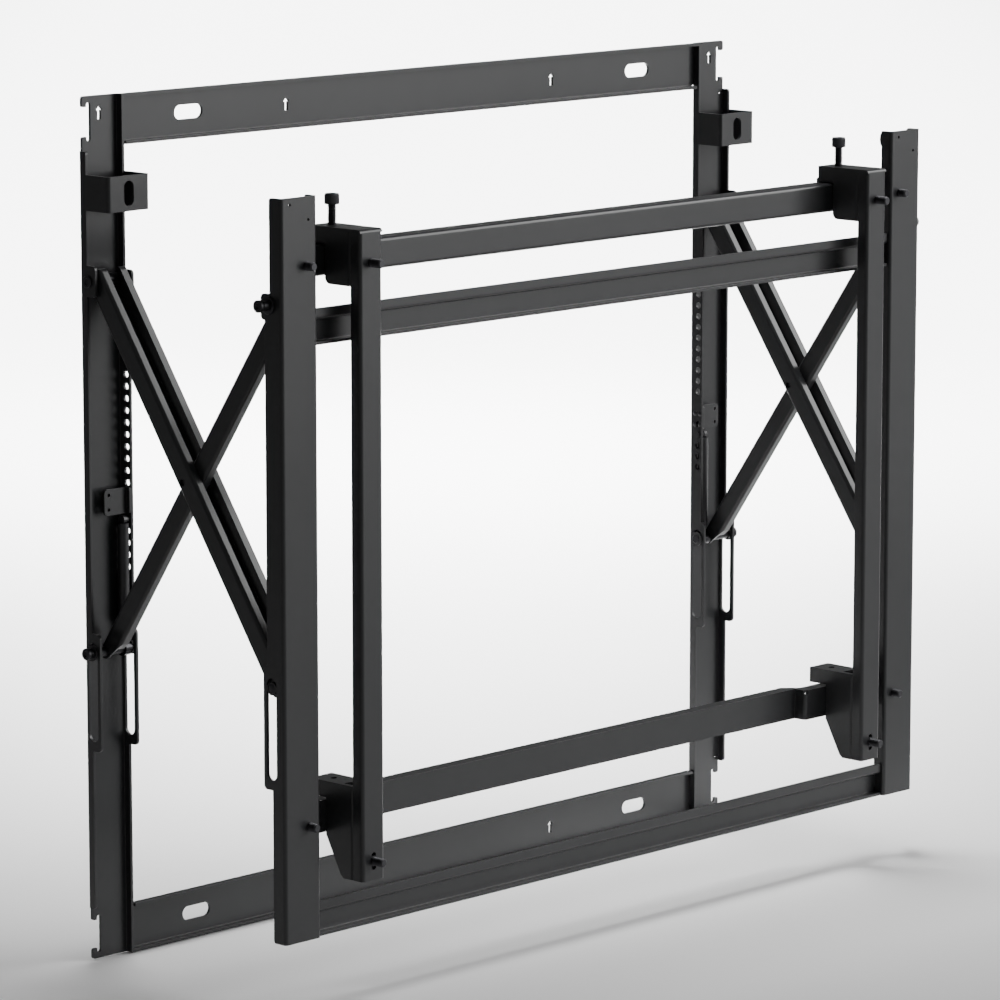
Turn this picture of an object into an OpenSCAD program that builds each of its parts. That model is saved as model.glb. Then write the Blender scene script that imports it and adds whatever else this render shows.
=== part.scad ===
// Pop-out mount for one panel of a video wall.
// A wall frame carries two pairs of scissor arms. They carry a front frame, on which
// two upright arms hold the panel. X runs to the right, Z up, and the front faces -Y.
// The wall plane is Y = 0, and the origin is the centre of the four wall slots.

/* [Overall] */
// Height of the wall uprights
frame_h = 592; // [560:1:680]
// Distance between the centre lines of the left and right uprights
side_pitch = 615; // [600:1:760]
// Thickness of the bent sheet
sheet = 2; // [1.5:0.1:2.2]
// Inner radius of each bend in the sheet
bend_in = 0.4; // [0.2:0.1:1.2]

/* [Wall frame] */
// Width of a wall upright over its flanges
wall_w = 35; // [34:0.5:40]
// Depth of the plain flanges of the wall frame
wall_flange = 7.2; // [6:0.1:8]
// Depth of the inner flange where it carries the row of holes
wall_deep = 12; // [11.5:0.1:13]
// How far the pivot and slot ears stand out from the wall
wall_ear = 15.3; // [14:0.1:16.5]
// Height of the top and bottom wall rails
rail_h = 34; // [28:1:40]
// Distance from the centre of the mount to a wall slot
slot_x = 226.4; // [150:0.2:250]
// Distance from a frame end to the centre of its wall slots
slot_inset = 16.5; // [14:0.5:20]
// Distance from the centre of the mount to an arrow in a wall rail
arrow_x = 134; // [100:1:180]
// Length of a wall slot
slot_len = 26; // [14:1:40]
// Width of a wall slot
slot_w = 10; // [6:0.5:12]
// Bore of the holes in the adjusting row
row_hole_d = 4.8; // [3:0.1:5.4]
// Spacing of the adjusting row
row_pitch = 8.25; // [7:0.05:9]
// Height of the lowest hole in the adjusting row
row_z = -25.6; // [-30:0.1:-20]
// How far the spacer boxes stand out from the wall
box_front = 29.5; // [24:0.5:29.5]
// Height of a spacer box
box_h = 24; // [20:1:30]
// Length of the slot in a spacer box
box_slot_len = 17; // [14:0.5:19]
// Width of the slot in a spacer box
box_slot_w = 8.8; // [6:0.1:12]
// Distance from the frame top down to a spacer box
box_drop = 52; // [48:1:70]

/* [Scissors] */
// Distance of the front pivots from the wall pivots when the mount is pulled out
reach = 173.5; // [150:0.5:190]
// Distance of the wall pivots from the wall
pivot_y = 8.2; // [8:0.1:9]
// Height of the upper pivots
pivot_z = 172.3; // [160:0.5:180]
// Height of the slot shafts when the mount is pulled out
shaft_z = -81; // [-90:0.5:-80]
// Gap between an outer arm and the front upright on each side
arm_play = 0.4; // [0.3:0.1:0.8]
// Width of the front lip of an outer arm member
arm_lip = 7; // [4:0.1:7.1]
// Width of the back lip of an outer arm member
arm_back_lip = 5; // [3:0.1:7]
// Sideways place of the outer arms from the upright centre lines
outer_x = -1; // [-1.5:0.1:0]
// Depth of an outer arm in front of its pivot line
arm_front = 10.5; // [9:0.1:11]
// Depth of an outer arm behind its pivot line
arm_back = 5; // [4.8:0.1:5.6]
// Width of an inner arm
inner_w = 7.6; // [6:0.1:8]
// Depth of an inner arm in front of its pivot line
inner_front = 9.5; // [8.5:0.1:10]
// Depth of an inner arm behind its pivot line
inner_back = 5.3; // [5:0.1:5.6]
// Sideways place of the inner arms from the upright centre lines
inner_x = -2.6; // [-3:0.1:-2.2]
// Diameter of the slot shafts and the front pivot shafts
shaft_d = 7; // [6:0.1:7.4]
// Width of the guide slots in the ears
guide_w = 9; // [8.6:0.1:9.2]
// Length that the shaft centres can travel in the guide slots
guide_travel = 59.5; // [58:0.5:64]
// Diameter of the wall pivot bolts
bolt_d = 6; // [5:0.1:6.6]
// Diameter of the centre pins
pin_d = 5; // [4:0.1:5.4]
// Radial running clearance of the shafts and bolts
run_gap = 0.05; // [0.03:0.01:0.08]
// Radial clearance of the slot rollers in the guide slots
roller_gap = 0.2; // [0.1:0.05:0.3]

/* [Dampers] */
// Outer diameter of a damper tube
tube_d = 8; // [7:0.1:8]
// Wall of a damper tube
tube_wall = 0.8; // [0.6:0.1:1.2]
// Diameter of a damper rod
rod_d = 3; // [2.5:0.1:3.4]
// Length of a damper tube
tube_len = 68; // [66:1:70]

/* [Front frame] */
// Height of the front uprights above the middle of the mount
front_top = 242; // [230:1:260]
// Depth of the front uprights below the middle of the mount
front_bottom = -252.2; // [-262:0.2:-250]
// Width of a front upright over its flanges
front_w = 32.4; // [31.6:0.1:33]
// Distance from the front pivots to the front face of the front uprights
front_lead = 12.1; // [11.4:0.1:12.6]
// Depth of the plain outer flanges of the front uprights
front_flange = 11.4; // [10:0.1:11.8]
// Depth of the plain inner flanges of the front uprights
front_flange_in = 9.6; // [9:0.1:10]
// Depth of those flanges between the pivots and the slots
front_deep = 16; // [15:0.1:17]
// Depth of the pivot and slot ears of the front uprights
front_ear = 19.6; // [18:0.1:20]
// Height of a crossbar
bar_h = 24; // [20:1:30]
// Depth of a crossbar
bar_d = 8; // [7:0.1:9]
// Height of the top of the upper crossbar
bar_top_z = 167.7; // [160:0.1:172]

/* [Panel carriers] */
// Distance from the front face of the uprights back to the face of the upper rail
rail_back = 18.8; // [16:0.1:19]
// Distance from the top of the panel arms down to the upper panel rail
top_rail_drop = 12.1; // [10:0.1:12.6]
// Height of the section of the upper panel rail
top_rail_h = 20.5; // [17:0.5:24]
// Depth of the upper panel rail
top_rail_d = 14.6; // [13:0.1:15]
// Distance from the lower panel studs up to the top of the lower panel rail
low_rail_rise = 38.2; // [36:0.1:40]
// Height of the section of the lower panel rail
low_rail_h = 22; // [18:0.5:24]
// Depth of the lower panel rail
low_rail_d = 10.5; // [8:0.1:10.6]
// Backward step of the middle of the lower panel rail
joggle = 10; // [6:0.5:10]
// Distance from the middle of the mount to that step
joggle_x = 225; // [200:1:227]
// Distance between the left and right panel studs
stud_pitch_x = 514; // [500:1:520]
// Distance between the upper and lower panel studs
stud_pitch_z = 400; // [380:5:402]
// Distance from the top of the panel arms down to the upper panel studs
stud_drop = 22; // [19:0.1:25]
// Distance from the lower panel studs down to the bottom of the panel arms
stud_inset = 13.1; // [12:0.1:16]
// Diameter of the panel studs
stud_d = 6; // [5:0.1:8]
// How far a stud stands out in front of its arm
stud_out = 10; // [5:0.1:12]
// Width of a panel arm
carrier_w = 20.4; // [19:0.2:22]
// Depth of the section of a panel arm
carrier_d = 9; // [8:0.1:10]
// Distance from the front face of the uprights forward to the panel arms
carrier_lead = 15.1; // [13:0.1:18]
// Height of the top of the panel arms
carrier_top = 218.3; // [217:0.1:222]
// Diameter of the height screws
screw_d = 6; // [5:0.1:6.4]
// Height of the height screw heads above the panel arms
screw_rise = 20.7; // [18:0.1:28]

/* [Hidden] */
$fn = 48;
eps = 0.01;
t = sheet;
paint = "#26272a";
zinc = "#8d9094";
dark_steel = "#3c3e42";
nylon = "#1b1b1d";

side_x = side_pitch / 2;
wall_in = wall_w - 2 * t;
rail_x = side_x - wall_w / 2;
pivot_front = pivot_y + reach;
arm_rise = pivot_z - shaft_z;
arm_len = sqrt(reach * reach + arm_rise * arm_rise);
alpha = atan(reach / arm_rise);
guide_r = guide_w / 2;
guide_top = shaft_z + 2.5;
guide_low = guide_top - guide_travel;
ear_r = 3;
corner_r = 2;
hook_tip_r = 1.5;
ear_z0 = pivot_z - 10.3;
slot_ear_z0 = guide_low - guide_r - 6.5;
slot_ear_z1 = guide_top + guide_r + 6;
hook_x = wall_w / 2 - t;
hook_z = frame_h / 2 - 17.3;
flange_end = frame_h / 2 - 36.5;
front_y = -pivot_front - front_lead;
front_in = front_w / 2 - t;
arm_w = 2 * (front_in - arm_play + outer_x);
bar_low_z = front_bottom + bar_h;
bar_x = side_x - front_w / 2;
top_rail_y = front_y + rail_back;
top_rail_z = carrier_top - top_rail_drop;
carrier_x = stud_pitch_x / 2;
carrier_y = front_y - carrier_lead;
bracket_y = carrier_y + carrier_d;
stud_top_z = carrier_top - stud_drop;
stud_low_z = stud_top_z - stud_pitch_z;
carrier_low = stud_low_z - stud_inset;
low_rail_z = stud_low_z + low_rail_rise;
screw_top = carrier_top + screw_rise;
screw_y = top_rail_y + 2.6;
foot_gap = 0.3;
box_gap = 0.2;
foot_top = top_rail_z + foot_gap + 3;
end_cap = 5.5;
shaft_r = shaft_d / 2;
roller_r = guide_r - roller_gap;
damper_x = -(wall_in / 2 - 0.25 - tube_d / 2);
stud_side_x = -6.5;
shank_r = stud_d / 2 + 0.5;
inner_low = inner_x - inner_w / 2;
inner_high = inner_x + inner_w / 2;
rail_end = bar_x + 2 * t;

// Unit vector along v
function unit(v) = v / norm(v);

// Straight piece of a sheet section from a to b
module strip(a, b) {
    d = b - a;
    translate(a) rotate(atan2(d.y, d.x)) translate([0, -t / 2]) square([norm(d), t]);
}

// Bend at corner v, from direction d1 to d2, with rc as the radius of its middle line
module bend(v, d1, d2, rc) {
    turn = d1.x * d2.y - d1.y * d2.x > 0 ? 1 : -1;
    n1 = turn * [-d1.y, d1.x];
    n2 = turn * [-d2.y, d2.x];
    c = v - rc * tan(acos(d1 * d2) / 2) * d1 + rc * n1;
    far = 2 * (rc + t);
    intersection() {
        translate(c) difference() {
            circle(rc + t / 2);
            circle(rc - t / 2);
        }
        polygon([c, c - far * n1, c - far * (n1 + n2), c - far * n2]);
    }
}

// Section of bent sheet along the corners of a path through its middle
module bent_sheet(path) {
    rc = bend_in + t / 2;
    last = len(path) - 1;
    dirs = [for (i = [0 : last - 1]) unit(path[i + 1] - path[i])];
    trim = [for (i = [0 : last])
        i == 0 || i == last ? 0 : rc * tan(acos(dirs[i - 1] * dirs[i]) / 2)];
    for (i = [0 : last - 1])
        strip(path[i] + trim[i] * dirs[i], path[i + 1] - trim[i + 1] * dirs[i]);
    for (i = [1 : last - 1])
        bend(path[i], dirs[i - 1], dirs[i], rc);
}

// Channel section, w wide with flanges d deep, its web outside at y0, opening towards dir
module channel(w, d, y0, dir) {
    x = (w - t) / 2;
    y1 = y0 + dir * t / 2;
    y2 = y0 + dir * d;
    bent_sheet([[-x, y2], [-x, y1], [x, y1], [x, y2]]);
}

// Rectangle from low to high corner with its corners rounded by r
module rounded(low, high, r) {
    size = high - low;
    translate(low + [r, 0]) square([size.x - 2 * r, size.y]);
    translate(low + [0, r]) square([size.x, size.y - 2 * r]);
    for (x = [low.x + r, high.x - r], y = [low.y + r, high.y - r])
        translate([x, y]) circle(r);
}

// What rounding by r takes off the corner v, whose tip points along the signs d
module corner_off(v, d, r) difference() {
    translate(v - d * (r - 1) / 2) square(r + 1, center = true);
    translate(v - d * r) circle(r);
}

// Rectangle from low to high corner
module block(low, high) translate(low) square(high - low);

// Round-ended slot, length over its ends, along the first axis
module slot(length, w) {
    square([length - w, w], center = true);
    for (s = [-1, 1]) translate([s * (length - w) / 2, 0]) circle(w / 2);
}

// Extrusion of an X-Y section from height z0 to z1
module column(z0, z1) translate([0, 0, z0]) linear_extrude(z1 - z0) children();

// Extrusion of a Y-Z outline from x0 to x1
module across(x0, x1) translate([x0, 0, 0]) rotate([90, 0, 90]) linear_extrude(x1 - x0) children();

// Extrusion of an X-Z outline from the deeper y1 forward to y0
module facing(y0, y1) translate([0, y1, 0]) rotate([90, 0, 0]) linear_extrude(y1 - y0) children();

// Cylinder along X from x0 to x1
module rod_x(x0, x1, y, z, r) translate([x0, y, z]) rotate([0, 90, 0]) cylinder(h = x1 - x0, r = r);

// Cylinder along Y, from the deeper y1 forward to y0
module rod_y(x, y0, y1, z, r) translate([x, y1, z]) rotate([90, 0, 0]) cylinder(h = y1 - y0, r = r);

// Tube along X
module tube_x(x0, x1, y, z, r, bore) difference() {
    rod_x(x0, x1, y, z, r);
    rod_x(x0 - 1, x1 + 1, y, z, bore);
}

// The right side, or its mirror image on the left, with X = 0 on the upright's centre line
module on_side(s) translate([s * side_x, 0, 0]) mirror([s < 0 ? 1 : 0, 0, 0]) children();

// Small upward arrow cut into the sheet, centred on the origin
module arrow() {
    polygon([[0, 4.85], [3, 1.35], [-3, 1.35]]);
    block([-1.5, -4.85], [1.5, 1.4]);
}

// Guide slot of the ears, as a Y-Z outline on the line y
module guide(y) translate([y, (guide_top + guide_low) / 2]) rotate(90)
    slot(guide_travel + guide_w, guide_w);

// Hook notch in the outer edge of a wall upright, with the tips of both hooks rounded
module hook_notch() {
    mouth = 10;
    block([hook_x - 4, -mouth], [hook_x + 5, mouth]);
    rounded([hook_x - 7.6, -13.1], [hook_x - 4 + eps, 13.1], 1.7);
    for (m = [-1, 1]) corner_off([hook_x, m * mouth], [1, -m], hook_tip_r);
}

// Outlines of the two flanges of a wall upright
module wall_inner_flange() {
    block([-wall_flange, -frame_h / 2], [0, frame_h / 2]);
    block([-wall_deep, slot_ear_z1 - 4], [0, pivot_z]);
    rounded([-wall_ear, ear_z0], [0, pivot_z + 5.7], ear_r);
    rounded([-wall_ear, slot_ear_z0], [0, slot_ear_z1], ear_r);
}

module wall_outer_flange() {
    rounded([-wall_flange, -flange_end], [corner_r + eps, flange_end], corner_r);
    rounded([-wall_ear, ear_z0], [0, pivot_z + 10.7], ear_r);
    rounded([-wall_ear, slot_ear_z0], [0, slot_ear_z1], ear_r);
}

// Heights of the holes in the adjusting row, with two left out for the catch plate
row_skip = [5, 6];
row_holes = [for (i = [0 : 16]) if (i != row_skip[0] && i != row_skip[1]) row_z + i * row_pitch];
// The catch plate and the damper sit one hole lower on the right
function side_drop(s) = s > 0 ? row_pitch : 0;
catch_z = row_z + 4.5 * row_pitch;
rivet_y = [-5.3, -10.2];
rivet_dz = [3.8, 12.1];
rivet_r = 1.1;

module rivet_shanks(s, x0, x1, r) for (y = rivet_y, dz = rivet_dz)
    rod_x(x0, x1, y, catch_z - side_drop(s) + dz, r);

// Spacer box at the top of a wall upright: its left flange is drawn out, bent to the front
// and back again past the right flange, with X = 0 on the upright's centre line
module spacer_box() {
    z1 = frame_h / 2 - box_drop;
    x0 = (t - wall_w) / 2;
    x1 = (wall_w + t) / 2 + box_gap;
    difference() {
        column(z1 - box_h, z1)
            bent_sheet([[x0, 1 - wall_flange], [x0, t / 2 - box_front],
                [x1, t / 2 - box_front], [x1, -box_gap]]);
        facing(-box_front - 1, -box_front + t + 1)
            translate([(x0 + x1) / 2, z1 - box_h / 2]) rotate(90) slot(box_slot_len, box_slot_w);
    }
}

module wall_upright(s) color(paint) {
    on_side(s) difference() {
        intersection() {
            column(-frame_h / 2, frame_h / 2) channel(wall_w, wall_ear, 0, -1);
            union() {
                column(-frame_h / 2, frame_h / 2) block([-wall_w / 2, -t], [hook_x, 0]);
                across(-wall_w / 2 - 1, 0) wall_inner_flange();
                across(0, wall_w / 2 + 1) wall_outer_flange();
            }
        }
        across(-wall_w, wall_w) guide(-pivot_y);
        rod_x(-wall_w, wall_w, -pivot_y, pivot_z, bolt_d / 2);
        for (z = row_holes) rod_x(-wall_w, 0, -pivot_y, z, row_hole_d / 2);
        rivet_shanks(s, -wall_w, 0, rivet_r);
        facing(-t - 1, 1) {
            for (m = [-1, 1]) {
                translate([0, m * hook_z]) hook_notch();
                corner_off([hook_x, m * frame_h / 2], [1, m], corner_r);
                translate([hook_x - 2.9, m * (flange_end - 3)]) slot(2.8, 1.5);
            }
            translate([0, frame_h / 2 - 11.5]) arrow();
        }
    }
    translate([s * side_x, 0, 0]) spacer_box();
}

module wall_rail(m) color(paint) difference() {
    z0 = m > 0 ? frame_h / 2 - rail_h : -frame_h / 2;
    zc = m * (frame_h / 2 - slot_inset);
    across(-rail_x, rail_x)
        bent_sheet([[-wall_flange, z0 + t / 2], [-t / 2, z0 + t / 2],
            [-t / 2, z0 + rail_h - t / 2], [-wall_flange, z0 + rail_h - t / 2]]);
    for (s = [-1, 1]) {
        facing(-t - 1, 1) translate([s * slot_x, zc]) slot(slot_len, slot_w);
        facing(-t - 1, 1) translate([s * arrow_x, zc - 0.7]) arrow();
        // Relief at the ends of the flange that lies towards the middle of the frame
        facing(-wall_flange - 1, 1)
            translate([s * rail_x, m > 0 ? z0 : z0 + rail_h]) square([4, 5], center = true);
    }
}

// Angle plate on the inner flange that the latch of the front frame catches
module catch_plate(s) color(paint) on_side(s) difference() {
    z0 = catch_z - side_drop(s);
    x0 = -wall_in / 2;
    union() {
        facing(-8.5, -7) {
            block([x0, z0], [0, z0 + 18]);
            rounded([x0, z0], [5.5, z0 + 18], ear_r);
        }
        across(x0, x0 + 1.5) rounded([-wall_deep, z0], [-t - 1, z0 + 18], 1.5);
    }
    rivet_shanks(s, -wall_w, 0, rivet_r);
    for (dz = [4, 14]) rod_y(1.5, -10, -5, z0 + dz, 1.25);
}

module catch_rivets() color(dark_steel) for (s = [-1, 1]) on_side(s) {
    rivet_shanks(s, -wall_w / 2 - 0.7, -wall_in / 2 + 1.5, rivet_r);
    rivet_shanks(s, -wall_w / 2 - 0.7, -wall_w / 2, 1.9);
}

// Shoulder bolt in the two pivot ears, with a riveted inner end
module wall_pivot_bolt(s) color(dark_steel) on_side(s) {
    difference() {
        union() {
            rod_x(-wall_w / 2, wall_w / 2 + 1.4, -pivot_y, pivot_z, bolt_d / 2);
            rod_x(wall_w / 2, wall_w / 2 + 1.4, -pivot_y, pivot_z, 4.2);
            rod_x(-wall_w / 2 - 1.2, -wall_w / 2, -pivot_y, pivot_z, 4.2);
        }
        rod_x(wall_w / 2 + 0.4, wall_w / 2 + 2, -pivot_y, pivot_z, 2.4);
    }
}

// Places of the two arms of a pair: the outer hangs from the wall pivot,
// the inner stands on the slot shaft
module outer_place(s) translate([s * side_x, -pivot_y, pivot_z]) rotate([-alpha, 0, 0]) children();
module inner_place(s) translate([s * side_x, -pivot_y, shaft_z]) rotate([alpha, 0, 0]) children();
// As outer_place, but with X = 0 midway between the two members
module member_place(s) outer_place(s) translate([outer_x, 0, 0]) children();

// Side outline of an outer arm: its lower end narrows to fit the front upright
module outer_arm_side() {
    end_front = front_lead - t - 1.1;
    taper = 34;
    rounded([-arm_front, -2 * taper], [arm_back, end_cap], 4.5);
    block([-arm_front, -arm_len + taper], [arm_back, -taper]);
    polygon([[arm_back, -arm_len], [arm_back, -arm_len + taper + eps],
        [-arm_front, -arm_len + taper + eps], [-end_front, -arm_len]]);
    translate([(arm_back - end_front) / 2, -arm_len]) circle((arm_back + end_front) / 2);
}

// One of the two lipped members of an outer arm, m = 1 outwards and -1 inwards
module outer_arm_member(s, m) color(paint) member_place(s) mirror([m * s < 0 ? 1 : 0, 0, 0])
    difference() {
        x = (arm_w - t) / 2;
        intersection() {
            column(-arm_len - 10, 10)
                bent_sheet([[arm_w / 2 - arm_back_lip, arm_back - t / 2], [x, arm_back - t / 2],
                    [x, t / 2 - arm_front], [arm_w / 2 - arm_lip, t / 2 - arm_front]]);
            across(0, arm_w) outer_arm_side();
        }
        // The back lip is notched around the spacers
        for (z = [0, -arm_len / 2, -arm_len]) rod_x(0, arm_w / 2 - t, 0, z, arm_back + 1.4);
        rod_x(0, arm_w, 0, 0, bolt_d / 2 + run_gap);
        rod_x(0, arm_w, 0, -arm_len / 2, pin_d / 2);
        rod_x(0, arm_w, 0, -arm_len, shaft_r);
    }

// Tubes that keep the two members apart at the wall pivot and at the centre pin
module outer_arm_spacers(s) color(dark_steel) member_place(s) {
    gap = arm_w / 2 - t;
    tube_x(-gap, gap, 0, 0, 4.6, bolt_d / 2 + run_gap);
    tube_x(-gap, inner_low - outer_x - run_gap, 0, -arm_len / 2, 4.4, pin_d / 2);
    tube_x(inner_high - outer_x + 0.4, gap, 0, -arm_len / 2, 4.4, pin_d / 2);
    difference() {
        rod_x(-gap, gap, 0, -arm_len, shaft_r + 1.3);
        rod_x(-gap - 1, gap + 1, 0, -arm_len, shaft_r);
    }
}

module centre_pin(s) color(dark_steel) member_place(s)
    rod_x(-arm_w / 2 + 0.6, arm_w / 2 - 0.6, 0, -arm_len / 2, pin_d / 2);

// Shaft at the foot of an outer arm, and its rollers in the front guide slots
module front_slot_shaft(s) color(zinc) outer_place(s)
    rod_x(-front_w / 2 + 0.2, front_w / 2 - 0.2, 0, -arm_len, shaft_r);

module front_slot_rollers(s) color(nylon) outer_place(s) for (m = [-1, 1]) {
    x = m * (front_in + front_w / 2) / 2;
    tube_x(x - t / 2 + 0.1, x + t / 2 - 0.3, 0, -arm_len, roller_r, shaft_r);
}

// Side outline of an inner arm: both ends narrow to fit the uprights
module inner_arm_side() {
    end_front = front_lead - t - 1.1;
    polygon([[inner_back, 0], [inner_back, arm_len], [-end_front, arm_len],
        [-inner_front, arm_len - 28], [-inner_front, 14], [-inner_back, 0]]);
    circle(inner_back);
    translate([(inner_back - end_front) / 2, arm_len]) circle((inner_back + end_front) / 2);
}

module inner_arm(s) color(paint) inner_place(s) difference() {
    intersection() {
        column(-10, arm_len + 10)
            bent_sheet([[inner_high, inner_back - t / 2], [inner_low + t / 2, inner_back - t / 2],
                [inner_low + t / 2, t / 2 - inner_front], [inner_high, t / 2 - inner_front]]);
        across(inner_low - 1, inner_high + 1) inner_arm_side();
    }
    rod_x(-wall_w, wall_w, 0, 0, shaft_r);
    rod_x(-wall_w, wall_w, 0, arm_len / 2, pin_d / 2 + run_gap);
    rod_x(-wall_w, wall_w, 0, arm_len, shaft_r);
    // The lips stop short of both shafts
    for (z = [-10, arm_len - 8])
        column(z, z + 18) block([inner_low + t, -20], [inner_high + 1, 20]);
}

// Shaft at the foot of an inner arm, in the guide slots of the wall upright
module wall_slot_shaft(s) color(zinc) on_side(s) {
    end = wall_w / 2 + 6.8;
    rod_x(-wall_w / 2 - 7.6, end - 2.5, -pivot_y, shaft_z, shaft_r);
    difference() {
        rod_x(end - 2.5, end, -pivot_y, shaft_z, shaft_r + 0.6);
        rod_x(end - 1, end + 1, -pivot_y, shaft_z, shaft_r - 1.5);
    }
}

module wall_slot_rollers(s) color(nylon) on_side(s) for (m = [-1, 1]) {
    x = m * (wall_w / 2 - t / 2);
    tube_x(x - t / 2 - 0.3, x + t / 2 + 0.3, -pivot_y, shaft_z, roller_r, shaft_r);
    flange_x = m > 0 ? x + t / 2 + 0.3 : x - t / 2 - 1.3;
    tube_x(flange_x, flange_x + 1, -pivot_y, shaft_z, roller_r + 1, shaft_r);
}

// Shaft at the head of an inner arm, on which the front upright hangs
module front_pivot_shaft(s) color(dark_steel) on_side(s) {
    end = front_w / 2 + 10.3;
    rod_x(-front_w / 2 - 1.5, end - 2.6, -pivot_front, pivot_z, shaft_r);
    rod_x(front_w / 2 + 0.3, front_w / 2 + 1.5, -pivot_front, pivot_z, 6);
    difference() {
        rod_x(end - 2.6, end, -pivot_front, pivot_z, shaft_r + 0.7);
        rod_x(end - 1, end + 1, -pivot_front, pivot_z, shaft_r - 1.5);
    }
}

// Damper: its tube hangs from a hole of the adjusting row, its rod holds the slot shaft
function damper_pin_z(s) = row_z + 4 * row_pitch - side_drop(s);
tube_r = tube_d / 2;
tube_bore = tube_r - tube_wall;
rod_r = rod_d / 2;

module damper_tube(s) color(dark_steel) on_side(s) {
    z1 = damper_pin_z(s) - 2.5;
    z0 = z1 - tube_len;
    translate([damper_x, -pivot_y, 0]) rotate_extrude()
        polygon([[rod_r + 0.3, z0], [tube_r, z0], [tube_r, z1], [0, z1], [0, z1 - 2],
            [tube_bore, z1 - 2], [tube_bore, z0 + 2], [rod_r + 0.3, z0 + 2]]);
    rod_x(damper_x - 1.5, damper_x + 1.5, -pivot_y, damper_pin_z(s), 3);
    rod_x(-wall_w / 2 - 0.8, damper_x, -pivot_y, damper_pin_z(s), row_hole_d / 2);
}

module damper_rod(s) color(zinc) on_side(s) {
    z1 = damper_pin_z(s) - 6;
    translate([damper_x, -pivot_y, z1 - 3]) cylinder(h = 3, r = tube_bore - 0.2);
    difference() {
        union() {
            translate([damper_x, -pivot_y, shaft_z]) cylinder(h = z1 - shaft_z - 2, r = rod_r);
            rod_x(damper_x - 3, damper_x + 3, -pivot_y, shaft_z, 5.4);
        }
        rod_x(-wall_w, wall_w, -pivot_y, shaft_z, shaft_r + run_gap);
    }
}

// Outline of a flange of a front upright, with its plain part of depth d
module front_flange_side(d) {
    rounded([front_y - corner_r - eps, front_bottom], [front_y + d, front_top], corner_r);
    block([front_y, slot_ear_z1 - 4], [front_y + front_deep, pivot_z]);
    rounded([front_y, pivot_z - 10], [front_y + front_ear, pivot_z + 7.2], ear_r);
    rounded([front_y, slot_ear_z0], [front_y + front_ear, slot_ear_z1 + 2], ear_r);
}

// Studs of the uprights: their heights, and the holes that hold them
upright_stud_z = [196.8, -175.4];
upright_stud_out = 7.2;

module front_upright(s) color(paint) difference() {
    on_side(s) difference() {
        intersection() {
            column(front_bottom, front_top) channel(front_w, front_ear, front_y, 1);
            union() {
                column(front_bottom, front_top)
                    block([-front_w / 2, front_y], [front_w / 2, front_y + t + bend_in]);
                across(0, front_w) front_flange_side(front_flange);
                across(-front_w, 0) {
                    front_flange_side(front_flange_in);
                    translate([front_y + front_flange_in - 8, front_top - 6]) circle(9.7);
                }
            }
        }
        across(-front_w, front_w) guide(-pivot_front);
        rod_x(-front_w, front_w, -pivot_front, pivot_z, shaft_r + run_gap);
        for (z = upright_stud_z) rod_y(stud_side_x, front_y - 1, front_y + t + 1, z, shank_r);
    }
    for (m = [-1, 1])
        rod_y(s * side_x + m * 8.3, front_y - 1, front_y + t + 1,
            front_top - (m < 0 ? 4.4 : 15.1), 1.05);
}

// Crossbar with a recessed web, a step forward to the lip at its top and a narrow foot
module crossbar(z1) color(paint) across(-bar_x, bar_x) {
    y0 = front_y + 2.9 + t / 2;
    y1 = front_y + 2.9 + bar_d - t / 2;
    step = z1 - 7.7 + t / 2;
    foot = z1 - bar_h + t / 2;
    bent_sheet([[y0, z1], [y0, step], [y1, step], [y1, foot], [y0 - t / 2, foot]]);
}

// Tab that welds the end of a panel rail to the inside of an upright's inner flange
module rail_tab(s, back, z0, z1) across(s > 0 ? rail_end - t : -rail_end, s > 0 ? rail_end : t - rail_end)
    rounded([front_y + 3.8, z0], [back - 2, z1], 1.5);

module panel_rail_top() color(paint) {
    y0 = top_rail_y + t / 2;
    y1 = top_rail_y + top_rail_d;
    z1 = top_rail_z - t / 2;
    z0 = top_rail_z - top_rail_h + t / 2;
    across(-rail_end, rail_end) bent_sheet([[y1, z1], [y0, z1], [y0, z0], [y1, z0]]);
    for (s = [-1, 1]) rail_tab(s, y1, top_rail_z - top_rail_h, top_rail_z);
}

// Plan outline of the lower rail: its middle steps back from the panel arms
module low_rail_plan(y0, y1) polygon([
    [-rail_end, y0], [-joggle_x, y0], [-joggle_x, y0 + joggle],
    [joggle_x, y0 + joggle], [joggle_x, y0], [rail_end, y0],
    [rail_end, y1], [joggle_x + joggle / 2, y1], [joggle_x - joggle / 2, y1 + joggle],
    [-joggle_x + joggle / 2, y1 + joggle], [-joggle_x - joggle / 2, y1], [-rail_end, y1]]);

module panel_rail_bottom() color(paint) {
    y0 = top_rail_y + 1;
    y1 = y0 + low_rail_d;
    z0 = low_rail_z - low_rail_h;
    y_end = y0 + t / 2;
    y_mid = y_end + joggle;
    difference() {
        union() {
            column(z0, low_rail_z) bent_sheet([[-rail_end, y_end], [-joggle_x, y_end],
                [-joggle_x, y_mid], [joggle_x, y_mid], [joggle_x, y_end], [rail_end, y_end]]);
            for (z = [z0, low_rail_z - t]) column(z, z + t) low_rail_plan(y0 + 0.6, y1);
        }
        for (s = [-1, 1]) translate([s * joggle_x, y0, low_rail_z - t - 1])
            cylinder(h = t + 2, r = 2.4);
    }
    for (s = [-1, 1]) rail_tab(s, y1, z0, low_rail_z);
}

// Stud pressed into sheet whose front face is at y: thread, neck, knurled shank and head
module stud(x, y, z, out) {
    neck = 0.8;
    rod_y(x, y - out, y - neck, z, stud_d / 2);
    rod_y(x, y - neck, y, z, stud_d / 2 - 0.4);
    rod_y(x, y, y + t, z, shank_r);
    rod_y(x, y + t, y + t + 2, z, stud_d / 2 + 2);
}

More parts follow.
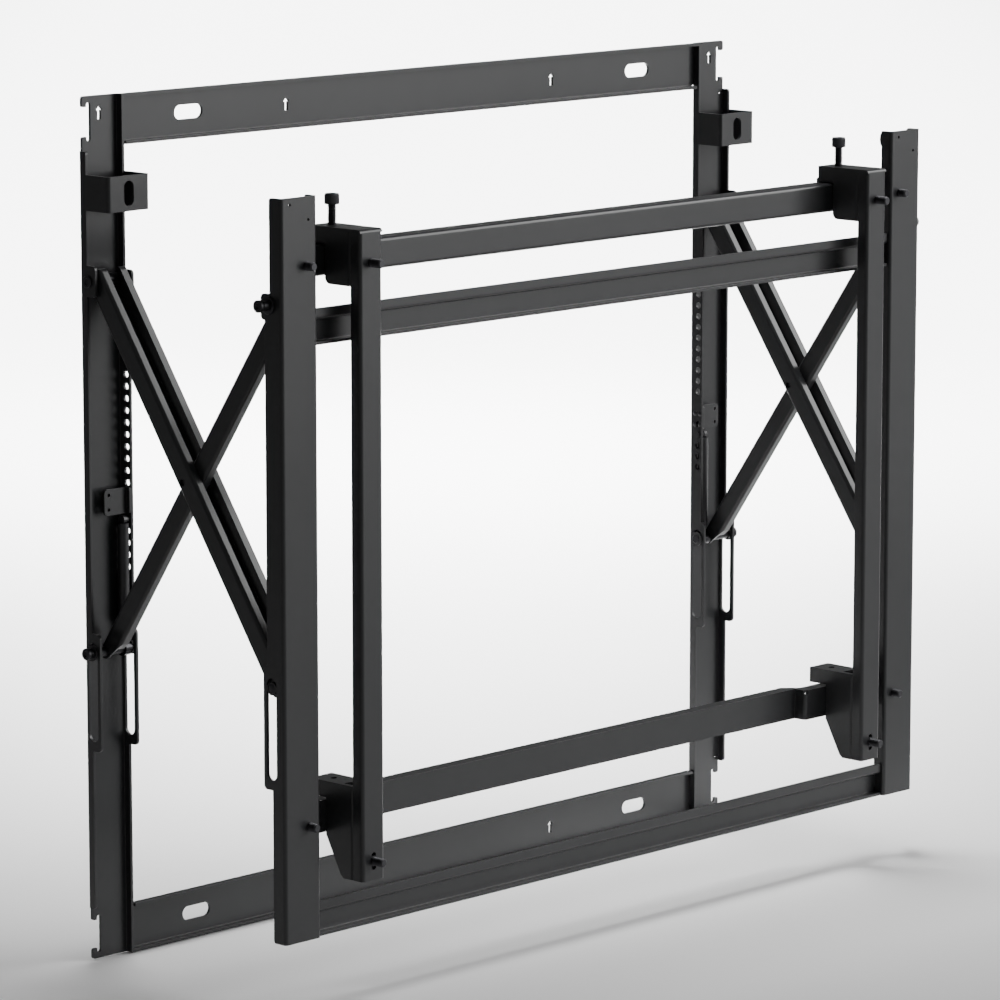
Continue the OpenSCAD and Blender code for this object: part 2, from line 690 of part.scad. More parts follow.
module upright_studs() color(dark_steel) for (s = [-1, 1], z = upright_stud_z)
    stud(s * (side_x + stud_side_x), front_y, z, upright_stud_out);

// Everything on the left panel arm is the mirror image of the right one
module on_carrier(s) translate([s * carrier_x, 0, 0]) mirror([s < 0 ? 1 : 0, 0, 0]) children();

// Saddle that slides along the upper rail and carries the height screw
module screw_foot(s) color(dark_steel) on_carrier(s) difference() {
    w = carrier_w / 2 - t - 0.7;
    y0 = top_rail_y - foot_gap - 2;
    y1 = top_rail_y + top_rail_d + foot_gap + 2;
    z0 = top_rail_z - 6;
    across(-w, w) difference() {
        rounded([y0, z0 - 3], [y1, foot_top], 1.5);
        block([y0 + 2, z0 - 4], [y1 - 2, top_rail_z + foot_gap]);
        block([y0 - 1, z0 - 4], [y1 + 1, z0]);
    }
    translate([0, screw_y, foot_top - 2]) cylinder(h = 3, r = screw_d / 2 - 0.6);
}

module height_screw(s) color(dark_steel) on_carrier(s) translate([0, screw_y, 0]) {
    head_h = 7;
    translate([0, 0, foot_top + 0.1])
        cylinder(h = screw_top - head_h - foot_top, r = screw_d / 2);
    translate([0, 0, foot_top - 1.9]) cylinder(h = 2.5, r = screw_d / 2 - 0.7);
    translate([0, 0, screw_top - head_h]) difference() {
        cylinder(h = head_h, r = screw_d * 5 / 6);
        translate([0, 0, head_h - 3]) cylinder(h = 4, r = screw_d * 0.48, $fn = 6);
    }
}

// Channel of a panel arm, whose top end is folded back over the bracket
module panel_arm(s) color(paint) on_carrier(s) difference() {
    back = top_rail_y + 13;
    union() {
        column(carrier_low, carrier_top - t) channel(carrier_w, carrier_d, carrier_y, 1);
        intersection() {
            across(-carrier_w / 2, carrier_w / 2)
                bent_sheet([[carrier_y + t / 2, carrier_top - t - 4], [carrier_y + t / 2, carrier_top - t / 2],
                    [back, carrier_top - t / 2]]);
            column(carrier_top - t - bend_in, carrier_top + 1)
                block([-carrier_w / 2, carrier_y], [carrier_w / 2, back]);
        }
    }
    rod_y(0, carrier_y - 1, carrier_y + t + 1, stud_top_z, shank_r);
    facing(carrier_y - 1, carrier_y + t + 1)
        translate([0, stud_low_z]) {
            circle(shank_r);
            rotate(90) slot(2 * stud_d, stud_d * 2 / 3);
        }
    translate([0, screw_y, carrier_top - t - 1]) cylinder(h = t + 2, r = screw_d / 2 + run_gap);
}

// Bracket behind the top of a panel arm: two cheeks and a cross plate
module top_bracket(s) color(paint) on_carrier(s) {
    front_z = top_rail_z - 25.5;
    back = top_rail_y + 13;
    step = top_rail_y - 1;
    intersection() {
        column(front_z, carrier_top - t) channel(carrier_w, back - bracket_y, bracket_y, 1);
        across(-carrier_w, carrier_w) {
            block([bracket_y, top_rail_z + 1], [back, carrier_top]);
            block([bracket_y, front_z], [step - 4.5, top_rail_z + 2]);
            rounded([bracket_y, front_z], [step, top_rail_z + 6], 4.5);
        }
    }
}

// Bracket at the foot of a panel arm: cheeks over and in front of the lower rail
module bottom_bracket(s) color(paint) on_carrier(s) {
    top = low_rail_z + 12.5;
    face = top_rail_y;
    back = face + 16.3;
    intersection() {
        union() {
            column(carrier_low, top - t / 2) channel(carrier_w, back - bracket_y, bracket_y, 1);
            difference() {
                column(top - t, top) block([-carrier_w / 2, bracket_y], [carrier_w / 2, back]);
                translate([0, face + 4, top - t - 1]) cylinder(h = t + 2, r = 2.5);
                facing(bracket_y - 1, bracket_y + 12) block([-7, top - t - 1], [7, top + 1]);
            }
        }
        across(-carrier_w, carrier_w) polygon([
            [bracket_y, carrier_low], [bracket_y, top + 1], [back, top + 1],
            [back, low_rail_z + 1.5], [face + 0.7, low_rail_z + 1.5],
            [face + 0.7, low_rail_z - low_rail_h - 2], [bracket_y + 11.9, carrier_low + 2.2],
            [bracket_y + 9.3, carrier_low]]);
    }
}

// The lower stud sits in its slot on a wide washer head
module panel_studs(s) color(dark_steel) on_carrier(s) {
    stud(0, carrier_y, stud_top_z, stud_out);
    stud(0, carrier_y, stud_low_z, stud_out);
    rod_y(0, carrier_y + t, carrier_y + t + 1.5, stud_low_z, stud_d / 2 + 4);
}

wall_upright(-1);  // wall_upright_left
wall_upright(1);  // wall_upright_right
wall_rail(1);  // wall_rail_top
wall_rail(-1);  // wall_rail_bottom
catch_plate(-1);  // catch_plate_left
catch_plate(1);  // catch_plate_right
catch_rivets();
wall_pivot_bolt(-1);  // wall_pivot_bolt_left
wall_pivot_bolt(1);  // wall_pivot_bolt_right
outer_arm_member(-1, 1);  // outer_arm_left_outer
outer_arm_member(-1, -1);  // outer_arm_left_inner
outer_arm_member(1, 1);  // outer_arm_right_outer
outer_arm_member(1, -1);  // outer_arm_right_inner
outer_arm_spacers(-1);  // outer_arm_spacers_left
outer_arm_spacers(1);  // outer_arm_spacers_right
centre_pin(-1);  // centre_pin_left
centre_pin(1);  // centre_pin_right
front_slot_shaft(-1);  // front_slot_shaft_left
front_slot_shaft(1);  // front_slot_shaft_right
front_slot_rollers(-1);  // front_slot_rollers_left
front_slot_rollers(1);  // front_slot_rollers_right
inner_arm(-1);  // inner_arm_left
inner_arm(1);  // inner_arm_right
wall_slot_shaft(-1);  // wall_slot_shaft_left
wall_slot_shaft(1);  // wall_slot_shaft_right
wall_slot_rollers(-1);  // wall_slot_rollers_left
wall_slot_rollers(1);  // wall_slot_rollers_right
front_pivot_shaft(-1);  // front_pivot_shaft_left
front_pivot_shaft(1);  // front_pivot_shaft_right
damper_tube(-1);  // damper_tube_left
damper_tube(1);  // damper_tube_right
damper_rod(-1);  // damper_rod_left
damper_rod(1);  // damper_rod_right
front_upright(-1);  // front_upright_left
front_upright(1);  // front_upright_right
crossbar(bar_top_z);  // crossbar_top
crossbar(bar_low_z);  // crossbar_bottom
panel_rail_top();
panel_rail_bottom();
upright_studs();
screw_foot(-1);  // screw_foot_left
screw_foot(1);  // screw_foot_right
height_screw(-1);  // height_screw_left
height_screw(1);  // height_screw_right
panel_arm(-1);  // panel_arm_left
panel_arm(1);  // panel_arm_right
top_bracket(-1);  // top_bracket_left
top_bracket(1);  // top_bracket_right
bottom_bracket(-1);  // bottom_bracket_left
bottom_bracket(1);  // bottom_bracket_right
panel_studs(-1);  // panel_studs_left
panel_studs(1);  // panel_studs_right
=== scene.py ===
import math

import bmesh
import bpy
from mathutils import Matrix, Vector


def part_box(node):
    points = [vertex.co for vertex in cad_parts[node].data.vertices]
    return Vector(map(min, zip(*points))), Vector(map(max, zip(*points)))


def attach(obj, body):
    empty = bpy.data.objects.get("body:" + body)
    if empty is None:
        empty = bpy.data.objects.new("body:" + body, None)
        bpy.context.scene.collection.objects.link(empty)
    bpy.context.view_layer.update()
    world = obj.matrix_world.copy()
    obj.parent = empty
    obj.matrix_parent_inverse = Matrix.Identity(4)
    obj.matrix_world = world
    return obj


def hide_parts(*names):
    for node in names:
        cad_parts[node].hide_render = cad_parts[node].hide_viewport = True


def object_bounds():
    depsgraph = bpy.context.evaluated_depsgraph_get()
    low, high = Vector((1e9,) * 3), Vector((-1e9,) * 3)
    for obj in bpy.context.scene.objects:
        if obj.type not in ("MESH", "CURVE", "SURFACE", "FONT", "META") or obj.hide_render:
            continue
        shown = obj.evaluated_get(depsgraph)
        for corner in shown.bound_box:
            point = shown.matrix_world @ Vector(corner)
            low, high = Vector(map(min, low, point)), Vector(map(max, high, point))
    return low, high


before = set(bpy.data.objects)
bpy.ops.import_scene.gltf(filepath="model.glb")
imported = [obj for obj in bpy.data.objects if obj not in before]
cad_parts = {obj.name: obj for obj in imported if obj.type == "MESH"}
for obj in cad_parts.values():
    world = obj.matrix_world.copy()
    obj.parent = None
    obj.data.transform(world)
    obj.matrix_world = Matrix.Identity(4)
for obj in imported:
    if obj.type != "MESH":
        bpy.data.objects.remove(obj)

cad_low, cad_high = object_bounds()


# The camera stands where the photograph was taken from, to the left of the mount and
# a little above it, with a long lens.
camera = bpy.data.objects.new("camera", bpy.data.cameras.new("camera"))
bpy.context.scene.collection.objects.link(camera)
camera.location = (-2.62661, -2.59789, 0.61074)
camera.rotation_euler = (math.radians(80.363), 0, -math.radians(46.194))
camera.data.sensor_width = 36
camera.data.lens = 187.13
camera.data.clip_start, camera.data.clip_end = 0.05, 100
bpy.context.scene.camera = camera


# A pale seamless studio floor under the mount, and soft boxes over it: a broad one to the
# front right for the front faces, a small one high on the right for the arms' lips, and
# two over the floor behind the mount.
def matte(name, colour):
    """A plain dull material."""
    paint = bpy.data.materials.new(name)
    paint.use_nodes = True
    shader = paint.node_tree.nodes["Principled BSDF"]
    shader.inputs["Base Color"].default_value = (*colour, 1)
    shader.inputs["Roughness"].default_value = 0.9
    return paint


bm = bmesh.new()
bmesh.ops.create_grid(bm, x_segments=1, y_segments=1, size=30)
floor_mesh = bpy.data.meshes.new("floor")
bm.to_mesh(floor_mesh)
bm.free()
floor = bpy.data.objects.new("floor", floor_mesh)
floor.location.z = cad_low.z - 0.001
floor.data.materials.append(matte("pale floor", (0.88, 0.88, 0.88)))
bpy.context.scene.collection.objects.link(floor)

world = bpy.data.worlds.new("studio")
bpy.context.scene.world = world
world.use_nodes = True
world.node_tree.nodes["Background"].inputs["Color"].default_value = (1, 1, 1, 1)
world.node_tree.nodes["Background"].inputs["Strength"].default_value = 0.15


def soft_box(name, place, turn, width, height, watts, spread=180):
    """A rectangular lamp that faces down before it is turned, by degrees about X, then Z."""
    lamp = bpy.data.lights.new(name, "AREA")
    lamp.shape, lamp.size, lamp.size_y, lamp.energy = "RECTANGLE", width, height, watts
    lamp.spread = math.radians(spread)
    box = bpy.data.objects.new(name, lamp)
    box.location = place
    box.rotation_euler = (math.radians(turn[0]), 0, math.radians(turn[1]))
    bpy.context.scene.collection.objects.link(box)


soft_box("key", (2.1, -3.0, 1.15), (72.5, 35), 2.6, 2.2, 118)
soft_box("lips", (1.56, -0.88, 1.27), (55, 60.5), 0.9, 0.9, 2.5, 60)
soft_box("top", (0.9, 0.88, 1.7), (0, -46.194), 0.7, 2.2, 29, 45)
soft_box("behind", (4.6, 4.4, 2.4), (0, -46.194), 3.4, 10.0, 900, 50)


# The bent sheet is steel with a fine-grained satin black powder coat. Its bends and cut
# edges are rounded by the coat and catch the light.
class Wire:
    """An output of one of a material's nodes, which takes part in sums and products."""

    def __init__(self, tree, socket=None):
        self.tree, self.socket = tree, socket

    def node(self, kind, settings, inputs, out=0):
        """An output of a new node, whose settings are made before its sockets are filled."""
        made = self.tree.nodes.new(kind)
        for key, value in settings.items():
            setattr(made, key, value)
        for key, value in inputs.items():
            if isinstance(value, Wire):
                self.tree.links.new(value.socket, made.inputs[key])
            else:
                made.inputs[key].default_value = value
        return Wire(self.tree, made.outputs[out])

    def maths(self, operation, a, b):
        return self.node("ShaderNodeMath", {"operation": operation}, {0: a, 1: b})

    def __add__(self, other):
        return self.maths("ADD", self, other)

    def __radd__(self, other):
        return self.maths("ADD", other, self)

    def __mul__(self, other):
        return self.maths("MULTIPLY", self, other)

    def __rmul__(self, other):
        return self.maths("MULTIPLY", other, self)

    def mix(self, low, high):
        """The colour between low and high that this value picks."""
        return self.node("ShaderNodeMix", {"data_type": "RGBA"},
                         {"Factor": self, 6: (*low, 1), 7: (*high, 1)}, 2)


def finish(name, build):
    """A material whose surface build() makes from object coordinates, as a table of sockets."""
    paint = bpy.data.materials.new(name)
    paint.use_nodes = True
    tree = paint.node_tree
    shader = tree.nodes["Principled BSDF"]
    start = Wire(tree)
    place = start.node("ShaderNodeTexCoord", {}, {}, "Object")
    for key, value in build(start, place).items():
        if isinstance(value, Wire):
            tree.links.new(value.socket, shader.inputs[key])
        else:
            shader.inputs[key].default_value = value
    return paint


def noise(start, place, scale, detail=2.0, roughness=0.5):
    """Noise from 0 to 1, at a number of lumps to the metre."""
    return start.node("ShaderNodeTexNoise", {},
                      {"Vector": place, "Scale": scale, "Detail": detail, "Roughness": roughness})


def rounded_edges(start, radius):
    """A normal that rounds the edges it meets within a radius."""
    return start.node("ShaderNodeBevel", {"samples": 4}, {"Radius": radius})


def powder_coat(start, place):
    grain = noise(start, place, 1900, 1.0)
    peel = noise(start, place, 420, 2.0)
    cloud = noise(start, place, 9, 3.0, 0.6)
    relief = start.node("ShaderNodeBump", {},
                        {"Strength": 0.04, "Distance": 0.0004, "Height": grain * 0.6 + peel * 0.4,
                         "Normal": rounded_edges(start, 0.0002)})
    return {
        "Base Color": cloud.mix((0.014, 0.0145, 0.0155), (0.027, 0.0275, 0.029)),
        "Roughness": 0.275 + peel * 0.05,
        "Specular IOR Level": 0.42,
        "Normal": relief,
    }


coat = finish("black powder coat", powder_coat)


def dress(paint, *nodes):
    """Gives CAD nodes a material."""
    for name in nodes:
        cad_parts[name].data.materials.clear()
        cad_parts[name].data.materials.append(paint)


SIDES = ("left", "right")
dress(coat, "wall_rail_top", "wall_rail_bottom", "crossbar_top", "crossbar_bottom",
      "panel_rail_top", "panel_rail_bottom")
for side in SIDES:
    dress(coat, "wall_upright_" + side, "catch_plate_" + side,
          f"outer_arm_{side}_outer", f"outer_arm_{side}_inner", "inner_arm_" + side,
          "front_upright_" + side, "panel_arm_" + side, "top_bracket_" + side,
          "bottom_bracket_" + side)


# The studs are M6, pressed into the sheet from behind: a rolled thread, a neck, and a
# thin round head behind. They are black zinc plated steel.
def zinc_plate(start, place):
    cloud = noise(start, place, 160, 3.0, 0.6)
    fine = noise(start, place, 2600, 1.0)
    return {
        "Base Color": cloud.mix((0.030, 0.030, 0.033), (0.060, 0.060, 0.064)),
        "Metallic": 0.85,
        "Roughness": 0.30 + cloud * 0.18,
        "Normal": start.node("ShaderNodeBump", {},
                             {"Strength": 0.12, "Distance": 0.0002, "Height": fine,
                              "Normal": rounded_edges(start, 0.0002)}),
    }


plated = finish("black zinc plate", zinc_plate)
MM = 0.001
THREAD_PITCH = 1.0 * MM
THREAD_R = 3.0 * MM
THREAD_ROOT = 2.42 * MM
TURN_STEPS = 24


def open_edges(bm):
    """The edges with one face only."""
    return [e for e in bm.edges if e.is_boundary]


def threaded_rod(low, high, chamfer_top=True):
    """A bmesh of a threaded rod along Z from low to high."""
    bm = bmesh.new()
    p, crest, root = THREAD_PITCH, THREAD_R, THREAD_ROOT
    section = [(root, 0), (root, 0.10), (crest, 0.44), (crest, 0.58), (root, 0.92), (root, 1)]
    points = [bm.verts.new((radius, 0, z * p)) for radius, z in section]
    lines = [bm.edges.new(pair) for pair in zip(points, points[1:])]
    turns = math.ceil((high - low) / p) + 2
    bmesh.ops.spin(bm, geom=points + lines, cent=(0, 0, 0), axis=(0, 0, 1),
                   dvec=(0, 0, p / TURN_STEPS), angle=math.tau * turns,
                   steps=TURN_STEPS * turns, use_duplicate=False)
    bmesh.ops.remove_doubles(bm, verts=bm.verts, dist=1e-6)
    bmesh.ops.translate(bm, verts=bm.verts, vec=(0, 0, low - 1.5 * p))
    for level, up in ((low, -1), (high, 1)):
        bmesh.ops.bisect_plane(bm, geom=bm.verts[:] + bm.edges[:] + bm.faces[:], dist=1e-7,
                               plane_co=(0, 0, level), plane_no=(0, 0, up), clear_outer=True)
    bmesh.ops.edgeloop_fill(bm, edges=open_edges(bm))
    if chamfer_top:
        for v in bm.verts:
            allowed = THREAD_ROOT - 0.1 * MM + (high - v.co.z)
            wide = math.hypot(v.co.x, v.co.y)
            if wide > allowed:
                v.co.x, v.co.y = v.co.x * allowed / wide, v.co.y * allowed / wide
    bmesh.ops.recalc_face_normals(bm, faces=bm.faces)
    return bm


def turned(section, steps=40):
    """A bmesh turned about Z from a section of (radius, height) points that ends on the axis."""
    bm = bmesh.new()
    points = [bm.verts.new((radius, 0, z)) for radius, z in section]
    lines = [bm.edges.new(pair) for pair in zip(points, points[1:])]
    bmesh.ops.spin(bm, geom=points + lines, cent=(0, 0, 0), axis=(0, 0, 1),
                   angle=math.tau, steps=steps, use_merge=True, use_duplicate=False)
    bmesh.ops.remove_doubles(bm, verts=bm.verts, dist=1e-6)
    bmesh.ops.recalc_face_normals(bm, faces=bm.faces)
    return bm


def join(target, part, matrix):
    """Adds the bmesh part to target, placed by matrix, and frees it."""
    part.transform(matrix)
    spare = bpy.data.meshes.new("spare")
    part.to_mesh(spare)
    part.free()
    target.from_mesh(spare)
    bpy.data.meshes.remove(spare)


def piece(name, bm, body, paint, slot_name, *nodes, smooth=40):
    """The finished object of a bmesh, riding on a body and standing for the CAD nodes."""
    mesh = bpy.data.meshes.new(name)
    bm.to_mesh(mesh)
    bm.free()
    mesh.shade_smooth()
    mesh.set_sharp_from_angle(angle=math.radians(smooth))
    mesh.materials.append(paint)
    made = bpy.data.objects.new(name, mesh)
    bpy.context.scene.collection.objects.link(made)
    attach(made, body)
    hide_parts(*nodes)


STUD_HEAD = 5.0 * MM
SHEET = 2.0 * MM
NECK = 0.8 * MM
FORWARD = Matrix.Rotation(math.radians(90), 4, "X")  # turns +Z to the front, -Y


def stud(bm, x, y, z, out, washer=0.0):
    """A stud at x, z whose sheet has its front face at y."""
    place = Matrix.Translation((x, y, z)) @ FORWARD
    join(bm, threaded_rod(NECK, out), place)
    shank, back, c = THREAD_R + 0.5 * MM, -2 * SHEET, 0.3 * MM
    join(bm, turned([(0, NECK + c), (THREAD_R - 0.5 * MM, NECK + c), (THREAD_R - 0.4 * MM, 0),
                     (shank, 0), (shank, -SHEET), (STUD_HEAD - c, -SHEET),
                     (STUD_HEAD, -SHEET - c), (STUD_HEAD, back + c), (STUD_HEAD - c, back),
                     (0, back)]), place)
    if washer:
        back = -SHEET - 1.5 * MM
        join(bm, turned([(0, -SHEET), (washer - c, -SHEET), (washer, -SHEET - c),
                         (washer, back + c), (washer - c, back), (0, back)]), place)


low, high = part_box("upright_studs")
bm = bmesh.new()
for x in (low.x + STUD_HEAD, high.x - STUD_HEAD):
    for z in (low.z + STUD_HEAD, high.z - STUD_HEAD):
        stud(bm, x, high.y - 2 * SHEET, z, high.y - 2 * SHEET - low.y)
piece("upright_studs_threaded", bm, "front_frame", plated, "dark_fastener", "upright_studs")

for side in SIDES:
    low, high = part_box("panel_studs_" + side)
    washer = (high.x - low.x) / 2
    bm = bmesh.new()
    for z, ring in ((low.z + washer, washer), (high.z - STUD_HEAD, 0.0)):
        stud(bm, (low.x + high.x) / 2, high.y - 2 * SHEET, z, high.y - 2 * SHEET - low.y, ring)
    piece("panel_studs_threaded_" + side, bm, "panel_arm_" + side, plated, "dark_fastener",
          "panel_studs_" + side)


# The height screws are M6 socket cap screws with a knurled head. Turning one lifts its
# panel arm, because its foot turns in a saddle on the upper rail.
HEAD_R = 5.0 * MM
HEAD_H = 7.0 * MM
SOCKET_FLAT = 2.5 * MM
KNURLS = 36
KNURL_DEPTH = 0.22 * MM


def grow(bm, rim, change):
    """Extrudes a rim of edges and moves each new vertex by change(vertex)."""
    new = bmesh.ops.extrude_edge_only(bm, edges=rim)["geom"]
    for v in [g for g in new if isinstance(g, bmesh.types.BMVert)]:
        change(v)
    return [g for g in new if isinstance(g, bmesh.types.BMEdge)
            and all(v in new for v in g.verts) and len(g.link_faces) == 1]


def set_ring(radius, z):
    """A change that puts a vertex on a ring at height z, of a radius given by its angle."""
    def change(v):
        angle = math.atan2(v.co.y, v.co.x)
        r = radius(angle) if callable(radius) else radius
        v.co = (r * math.cos(angle), r * math.sin(angle), z)
    return change


def hexagon(angle):
    """Radius of the socket's hexagon at an angle."""
    sector = math.radians(60)
    return SOCKET_FLAT / math.cos((angle % sector) - sector / 2)


def knurl(angle):
    """Radius of the knurled head at an angle."""
    return HEAD_R - (KNURL_DEPTH if round(angle / (math.pi / KNURLS)) % 2 else 0)


def cap_screw(low, high):
    """A bmesh of a socket cap screw along Z from low to high."""
    bm = threaded_rod(low, high - HEAD_H + 0.3 * MM, chamfer_top=False)
    head = bmesh.new()
    bmesh.ops.create_circle(head, cap_ends=True, segments=2 * KNURLS, radius=HEAD_R - 0.4 * MM)
    rim = open_edges(head)
    under = high - HEAD_H
    bmesh.ops.translate(head, verts=head.verts, vec=(0, 0, under))
    for radius, z in ((HEAD_R - 0.2 * MM, under + 0.2 * MM), (knurl, under + 0.5 * MM),
                      (knurl, high - 1.0 * MM), (HEAD_R - 0.25 * MM, high - 0.75 * MM),
                      (HEAD_R - 0.3 * MM, high - 0.3 * MM), (HEAD_R - 0.6 * MM, high),
                      (SOCKET_FLAT + 0.9 * MM, high), (hexagon, high - 0.35 * MM),
                      (hexagon, high - 3.0 * MM)):
        rim = grow(head, rim, set_ring(radius, z))
    bmesh.ops.edgeloop_fill(head, edges=rim)
    bmesh.ops.recalc_face_normals(head, faces=head.faces)
    join(bm, head, Matrix())
    return bm


for side in SIDES:
    low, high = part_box("height_screw_" + side)
    foot = 2.0 * MM
    bm = bmesh.new()
    centre = ((low.x + high.x) / 2, (low.y + high.y) / 2, 0)
    place = Matrix.Translation(centre)
    join(bm, cap_screw(low.z + foot, high.z), place)
    join(bm, turned([(0, low.z), (2.0 * MM, low.z), (2.3 * MM, low.z + 0.3 * MM),
                     (2.3 * MM, low.z + foot + 0.3 * MM), (0, low.z + foot + 0.3 * MM)]), place)
    piece("height_screw_threaded_" + side, bm, "height_screw_" + side, plated, "dark_fastener",
          "height_screw_" + side, smooth=30)
dress(plated, "screw_foot_left", "screw_foot_right")


# The slot shafts and front pivots are turned from steel bar and blackened. Each has a
# pressed cap with a dimple on its outer end and a groove for a retaining ring beside it.
def blackened(start, place):
    turning = start.node("ShaderNodeTexWave", {"wave_type": "BANDS", "bands_direction": "X"},
                         {"Vector": place, "Scale": 900.0, "Distortion": 1.5, "Detail": 1.0})
    cloud = noise(start, place, 220, 3.0)
    return {
        "Base Color": cloud.mix((0.020, 0.020, 0.022), (0.050, 0.050, 0.053)),
        "Metallic": 0.8,
        "Roughness": 0.28 + cloud * 0.14,
        "Normal": start.node("ShaderNodeBump", {},
                             {"Strength": 0.10, "Distance": 0.0001, "Height": turning}),
    }


shaft_steel = finish("blackened steel", blackened)


def middle(node):
    """Centre and size of a CAD node's box."""
    low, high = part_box(node)
    return (low + high) / 2, high - low


LAST = -1e-6  # a distance under 0, at the inner end


def mirrored(end):
    """The same end of a section again, at the inner end."""
    return [(radius, min(-distance, LAST)) for radius, distance in reversed(end)]


def from_end(node, side, section, shorter=0.0):
    """A bmesh of a shaft along X, from a section measured inwards from its outer end.

    Distances under 0 in the section count back from the inner end, less the length shorter."""
    centre, size = middle(node)
    length = size.x - shorter
    out = 1 if side == "right" else -1
    points = [(radius, length + d if d < 0 else d) for radius, d in section]
    start = Matrix.Translation((centre.x + out * size.x / 2, centre.y, centre.z))
    bm = turned(points, 48)
    bm.transform(start @ Matrix.Rotation(math.radians(-90 * out), 4, "Y"))
    return bm


def capped(cap_r, cap_h, shaft_r, collar=()):
    """Section of a shaft with a dimpled cap on its outer end and a ring groove behind it."""
    c, dimple, groove = 0.4 * MM, shaft_r - 1.5 * MM, shaft_r - 0.5 * MM
    return [(0, 1.1 * MM), (dimple - c, 1.0 * MM), (dimple, c), (dimple + c / 2, 0),
            (cap_r - c, 0), (cap_r, c), (cap_r, cap_h - c), (cap_r - c / 2, cap_h),
            (groove, cap_h + 0.1 * MM), (groove, cap_h + 0.9 * MM), (shaft_r, cap_h + 1.0 * MM),
            *collar, (shaft_r, -0.6 * MM), (shaft_r - 0.6 * MM, LAST), (0, LAST)]


SHAFT_R = 3.5 * MM
for side in SIDES:
    piece("wall_slot_shaft_turned_" + side,
          from_end("wall_slot_shaft_" + side, side, capped(4.1 * MM, 2.5 * MM, SHAFT_R),
                   shorter=5.6 * MM),
          "inner_arm_" + side, shaft_steel, "bright_shaft", "wall_slot_shaft_" + side)
    washer = [(SHAFT_R, 8.7 * MM), (5.6 * MM, 8.7 * MM), (6.0 * MM, 9.0 * MM),
              (6.0 * MM, 9.7 * MM), (5.6 * MM, 10.0 * MM), (SHAFT_R, 10.0 * MM)]
    piece("front_pivot_shaft_turned_" + side,
          from_end("front_pivot_shaft_" + side, side, capped(4.2 * MM, 2.6 * MM, SHAFT_R, washer)),
          "inner_arm_" + side, shaft_steel, "dark_fastener", "front_pivot_shaft_" + side)
    rounded_end = [(0, 0), (SHAFT_R - 0.8 * MM, 0), (SHAFT_R - 0.2 * MM, 0.25 * MM),
                   (SHAFT_R, 0.9 * MM)]
    piece("front_slot_shaft_turned_" + side,
          from_end("front_slot_shaft_" + side, side, rounded_end + mirrored(rounded_end)),
          "outer_arm_" + side, shaft_steel, "bright_shaft", "front_slot_shaft_" + side)
    dress(shaft_steel, "outer_arm_spacers_" + side)


# The wall pivots are shoulder bolts with a dimpled low head, riveted over at the inner
# end. The centre pins and the catch rivets are headed over too, and all are black zinc.
def dome(radius, height, steps=6):
    """Points of a low dome from its rim to its top on the axis, above height 0."""
    big = (radius ** 2 + height ** 2) / (2 * height)
    spread = math.asin(radius / big)
    return [(big * math.sin(spread * i / steps), big * math.cos(spread * i / steps) - big + height)
            for i in range(steps, -1, -1)]


def islands(node):
    """Centre and size of each loose body of a CAD node's mesh."""
    bm = bmesh.new()
    bm.from_mesh(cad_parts[node].data)
    bmesh.ops.remove_doubles(bm, verts=bm.verts, dist=1e-7)
    left, found = set(bm.verts), []
    while left:
        group, todo = set(), [left.pop()]
        while todo:
            v = todo.pop()
            group.add(v)
            fresh = [e.other_vert(v) for e in v.link_edges if e.other_vert(v) in left]
            left.difference_update(fresh)
            todo += fresh
        low = Vector([min(v.co[i] for v in group) for i in range(3)])
        high = Vector([max(v.co[i] for v in group) for i in range(3)])
        found.append(((low + high) / 2, high - low))
    bm.free()
    return found


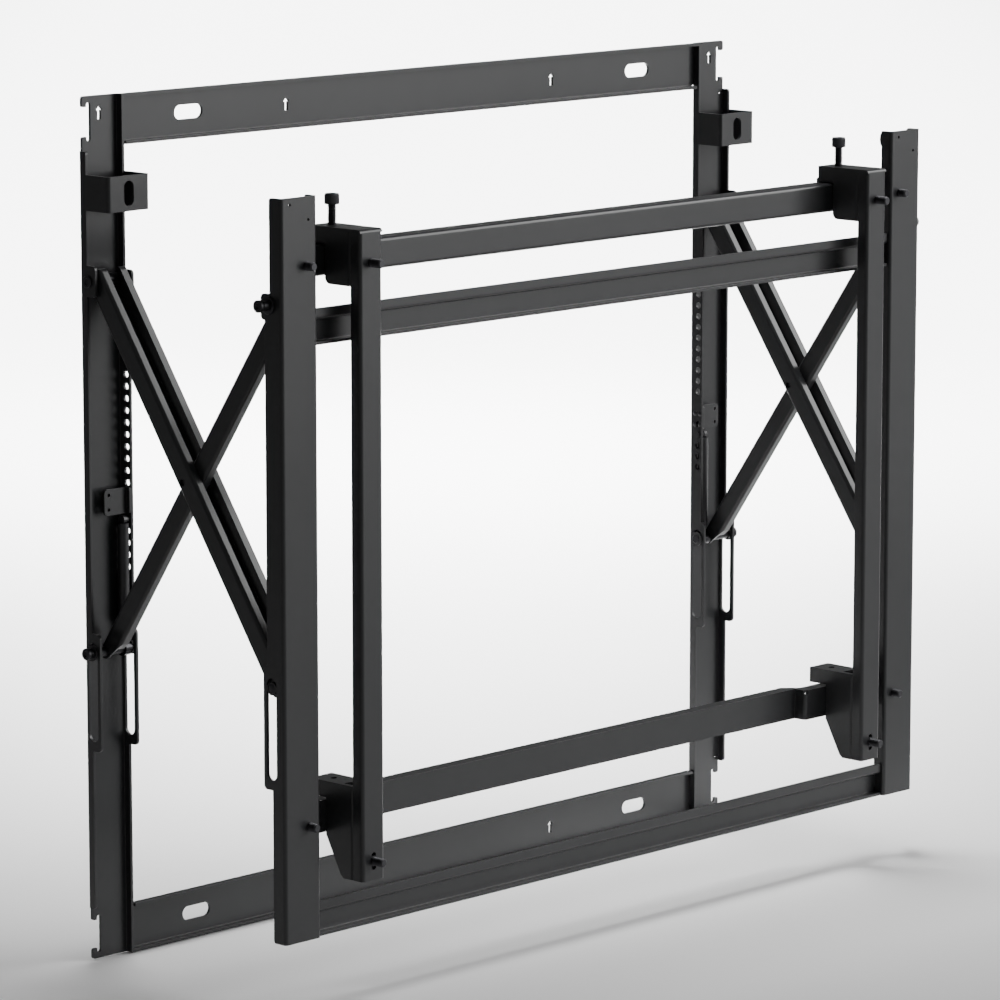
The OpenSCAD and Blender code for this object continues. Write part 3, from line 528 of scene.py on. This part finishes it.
for side in SIDES:
    head, bolt, c = 4.2 * MM, 3.0 * MM, 0.35 * MM
    piece("wall_pivot_bolt_turned_" + side,
          from_end("wall_pivot_bolt_" + side, side,
                   [(0, 0.7 * MM), (2.0 * MM, 0.7 * MM), (2.4 * MM, 0), (head - c, 0), (head, c),
                    (head, 1.4 * MM), (bolt, 1.4 * MM), (bolt, -1.2 * MM), (head, -1.2 * MM)]
                   + [(x, min(z - 1.2 * MM, LAST)) for x, z in dome(head, 1.2 * MM)[1:]]),
          "wall_frame", plated, "dark_fastener", "wall_pivot_bolt_" + side, smooth=30)
    pin, deep = 2.5 * MM, 1.4 * MM
    ends = [(0, deep + 0.5 * MM), (pin - 0.6 * MM, deep), (pin - 0.4 * MM, 0), (pin - 0.2 * MM, 0),
            (pin, 0.2 * MM)]
    piece("centre_pin_turned_" + side,
          from_end("centre_pin_" + side, side, ends + mirrored(ends)),
          "outer_arm_" + side, plated, "dark_fastener", "centre_pin_" + side)

bm = bmesh.new()
for centre, size in islands("catch_rivets"):
    out = 1 if centre.x > 0 else -1
    shank, rim, rise = 1.1 * MM, size.y / 2, 0.7 * MM
    section = [(0, 0), (shank - 0.2 * MM, 0), (shank, 0.2 * MM), (shank, size.x - rise)]
    section += [(x, size.x - rise + z) for x, z in dome(rim, rise)]
    join(bm, turned(section, 24),
         Matrix.Translation((centre.x + out * size.x / 2, centre.y, centre.z))
         @ Matrix.Rotation(math.radians(-90 * out), 4, "Y"))
piece("catch_rivets_domed", bm, "wall_frame", plated, "dark_fastener", "catch_rivets", smooth=30)


# The rollers on the slot shafts are black nylon rings, slightly polished by running.
def moulded_nylon(start, place):
    fine = noise(start, place, 1500, 2.0)
    return {
        "Base Color": fine.mix((0.010, 0.010, 0.011), (0.018, 0.018, 0.019)),
        "Roughness": 0.38 + fine * 0.2,
        "Normal": start.node("ShaderNodeBump", {},
                             {"Strength": 0.08, "Distance": 0.0002, "Height": fine}),
    }


nylon = finish("black nylon", moulded_nylon)
dress(nylon, *[f"{end}_slot_rollers_{side}" for end in ("front", "wall") for side in SIDES])


# Each damper is a gas spring beside the inner flange: a painted tube, and a ground rod
# whose eye is on the slot shaft.
def tube_paint(start, place):
    fine = noise(start, place, 900, 2.0)
    return {
        "Base Color": fine.mix((0.012, 0.012, 0.014), (0.020, 0.020, 0.022)),
        "Roughness": 0.34 + fine * 0.08,
    }


def ground_rod(start, place):
    fine = noise(start, place, 1800, 2.0)
    return {
        "Base Color": fine.mix((0.030, 0.030, 0.032), (0.055, 0.055, 0.058)),
        "Metallic": 1.0,
        "Roughness": 0.20 + fine * 0.10,
    }


dress(finish("damper paint", tube_paint), "damper_tube_left", "damper_tube_right")
dress(finish("ground steel", ground_rod), "damper_rod_left", "damper_rod_right")
